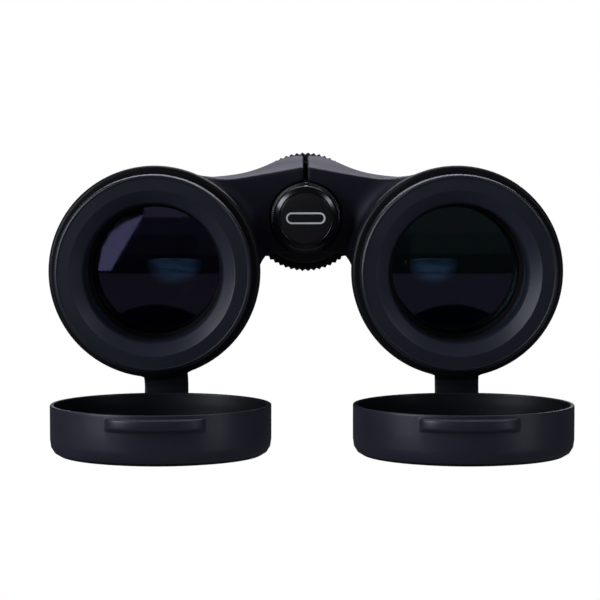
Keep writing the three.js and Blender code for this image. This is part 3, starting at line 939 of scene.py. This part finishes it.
def softbox(name, place, aim, size, watts, color=(1, 1, 1)):
    """A rectangular lamp at place, turned towards aim. Places are in metres."""
    data = bpy.data.lights.new(name, "AREA")
    data.shape = "RECTANGLE"
    data.size, data.size_y = size
    data.energy = watts
    data.color = color
    obj = bpy.data.objects.new(name, data)
    obj.location = place
    obj.rotation_euler = (Vector(aim) - Vector(place)).to_track_quat("-Z", "Y").to_euler()
    obj.visible_camera = False
    bpy.context.collection.objects.link(obj)


def card(name, y, corners, strength, color=(0.93, 0.93, 1.0)):
    """A flat glowing card in front of the object, only there to be mirrored in its lenses."""
    mesh = bpy.data.meshes.new(name)
    mesh.from_pydata([(x, y, z) for x, z in corners], [], [tuple(range(len(corners)))])
    material = bpy.data.materials.new(name)
    material.use_nodes = True
    glow = material.node_tree.nodes.new("ShaderNodeEmission")
    glow.inputs["Color"].default_value = (*color, 1)
    glow.inputs["Strength"].default_value = strength
    target = material.node_tree.nodes["Material Output"].inputs["Surface"]
    material.node_tree.links.new(glow.outputs[0], target)
    mesh.materials.append(material)
    obj = bpy.data.objects.new(name, mesh)
    obj.visible_camera = False
    obj.visible_diffuse = False
    obj.visible_shadow = False
    obj.visible_transmission = False
    bpy.context.collection.objects.link(obj)


def strip(name, y, x_range, z_range, strength, color=(0.93, 0.93, 1.0)):
    """A rectangular card."""
    (x0, x1), (z0, z1) = x_range, z_range
    card(name, y, [(x0, z0), (x1, z0), (x1, z1), (x0, z1)], strength, color)


def room_in_the_lenses():
    """What the front lenses mirror: a tall window, a ceiling, dark walls and a table."""
    card("window_card", -0.90, [(-0.180, -0.064), (-0.112, 0.050), (-0.153, 0.033),
                                (-0.178, 0.014), (-0.197, -0.018), (-0.206, -0.064)], 0.8)
    strip("ceiling_card", -0.91, (-0.112, -0.004), (0.045, 0.20), 0.22, (1.0, 0.95, 0.9))
    strip("far_ceiling_card", -0.91, (0.0, 0.30), (0.014, 0.20), 0.07, (1.0, 0.85, 0.95))
    strip("left_wall_card", -0.92, (-0.30, 0.0), (0.009, 0.045), 0.055)
    strip("left_mid_wall_card", -0.92, (-0.30, 0.0), (-0.030, 0.009), 0.032, (0.85, 0.85, 1.0))
    strip("left_low_wall_card", -0.92, (-0.30, 0.0), (-0.0675, -0.030), 0.018)
    strip("right_wall_card", -0.92, (0.0, 0.30), (-0.030, 0.014), 0.050)
    strip("right_low_wall_card", -0.92, (0.0, 0.30), (-0.0675, -0.030), 0.026)
    strip("shade_card", -0.27, (-0.16, 0.16), (-0.16, -0.0296), 0.009, (0.3, 0.4, 1.0))
    warm = {"right": (1.0, 0.93, 0.85), "left": (1.0, 0.62, 1.15)}
    for side, sign in SIDES.items():
        x = sign * 0.0506
        half, top, bottom, drop = 0.050, -0.0290, -0.0521, 0.0229
        arc = [(x + half * u, bottom - drop * u * u) for u in np.linspace(-1, 1, 15)]
        card(f"{side}_table_card", -0.25, [(x + half, top), (x - half, top), *arc], 0.1,
             warm[side])


def by_ray(tree, seen, mirrored, lit):
    """A shader that the camera sees as white, dark in reflections and dim to other rays."""
    nodes = tree.nodes
    path = nodes.new("ShaderNodeLightPath")
    room = nodes.new("ShaderNodeMixShader")
    tree.links.new(path.outputs["Is Glossy Ray"], room.inputs["Fac"])
    tree.links.new(lit.outputs[0], room.inputs[1])
    tree.links.new(mirrored.outputs[0], room.inputs[2])
    mixer = nodes.new("ShaderNodeMixShader")
    tree.links.new(path.outputs["Is Camera Ray"], mixer.inputs["Fac"])
    tree.links.new(room.outputs[0], mixer.inputs[1])
    tree.links.new(seen.outputs[0], mixer.inputs[2])
    return mixer


def glow_node(tree, kind, color, strength):
    """An emission or background node."""
    node = tree.nodes.new(kind)
    node.inputs["Color"].default_value = (*color, 1)
    node.inputs["Strength"].default_value = strength
    return node


def surroundings():
    """A white room to the camera, which barely shows in the object's reflections."""
    world = bpy.data.worlds.new("studio")
    bpy.context.scene.world = world
    world.use_nodes = True
    tree = world.node_tree
    kind = "ShaderNodeBackground"
    mixer = by_ray(tree, glow_node(tree, kind, (1, 1, 1), 1.0),
                   glow_node(tree, kind, (0.85, 0.85, 1.0), 0.012),
                   glow_node(tree, kind, (0.80, 0.86, 1.0), 0.24))
    tree.links.new(mixer.outputs[0], tree.nodes["World Output"].inputs["Surface"])


def pale_floor():
    """A white floor, low enough for the caps to hang open above it."""
    floor_z = cad_box[0][2] - FLOOR_DROP
    mesh = bpy.data.meshes.new("floor")
    half, near, far = 4, -1.8, 5.0
    mesh.from_pydata([(-half, near, floor_z), (half, near, floor_z), (half, far, floor_z),
                      (-half, far, floor_z)], [], [(0, 1, 2, 3)])
    floor = bpy.data.objects.new("floor", mesh)
    bpy.context.collection.objects.link(floor)
    material = bpy.data.materials.new("pale_floor")
    material.use_nodes = True
    tree = material.node_tree
    kind = "ShaderNodeEmission"
    mixer = by_ray(tree, glow_node(tree, kind, (1, 1, 1), 1.0),
                   glow_node(tree, kind, (0.9, 0.9, 1.0), 0.045),
                   glow_node(tree, kind, (0.92, 0.94, 1.0), 0.36))
    tree.links.new(mixer.outputs[0], tree.nodes["Material Output"].inputs["Surface"])
    mesh.materials.append(material)


def stage():
    """Surroundings, floor, lamps and the cards that the lenses mirror."""
    bpy.context.scene.view_settings.view_transform = "Standard"
    surroundings()
    pale_floor()
    cool = (0.88, 0.92, 1.0)
    softbox("left", (-0.66, -0.425, 0.27), (0, 0, -0.02), (0.4, 0.6), 3.4, cool)
    softbox("right", (0.62, -0.43, 0.43), (0, 0, -0.02), (0.2, 0.2), 0.6, cool)
    softbox("low", (0.55, -0.36, -0.09), (0, 0, -0.02), (0.3, 0.1), 0.14, cool)
    softbox("top", (0.0, 0.35, 0.7), (0, 0.02, 0), (0.9, 0.4), 1.5)
    softbox("rear", (0.0, 0.85, 0.50), (0, 0.02, 0), (0.8, 0.4), 3.0, (0.86, 0.83, 1.0))
    room_in_the_lenses()


# ---- Assembly ----

CAP_TURNS = {"right": math.radians(-6), "left": 0.0}  # of the tether rings, at rest

camera()
stage()
armour_halves()
seam_shade_lip()
for name in SIDES:
    objective_end(name)
    tether_ring(name, CAP_TURNS[name])
    objective_cap(name)
    strap(name, CAP_TURNS[name])
    eyepiece_end(name)
    painted_shade_baffle(name)
    strap_lug(name)
focusing_lenses()
hub_and_hinge()
finish_cad_nodes()

bpy.context.view_layer.update()
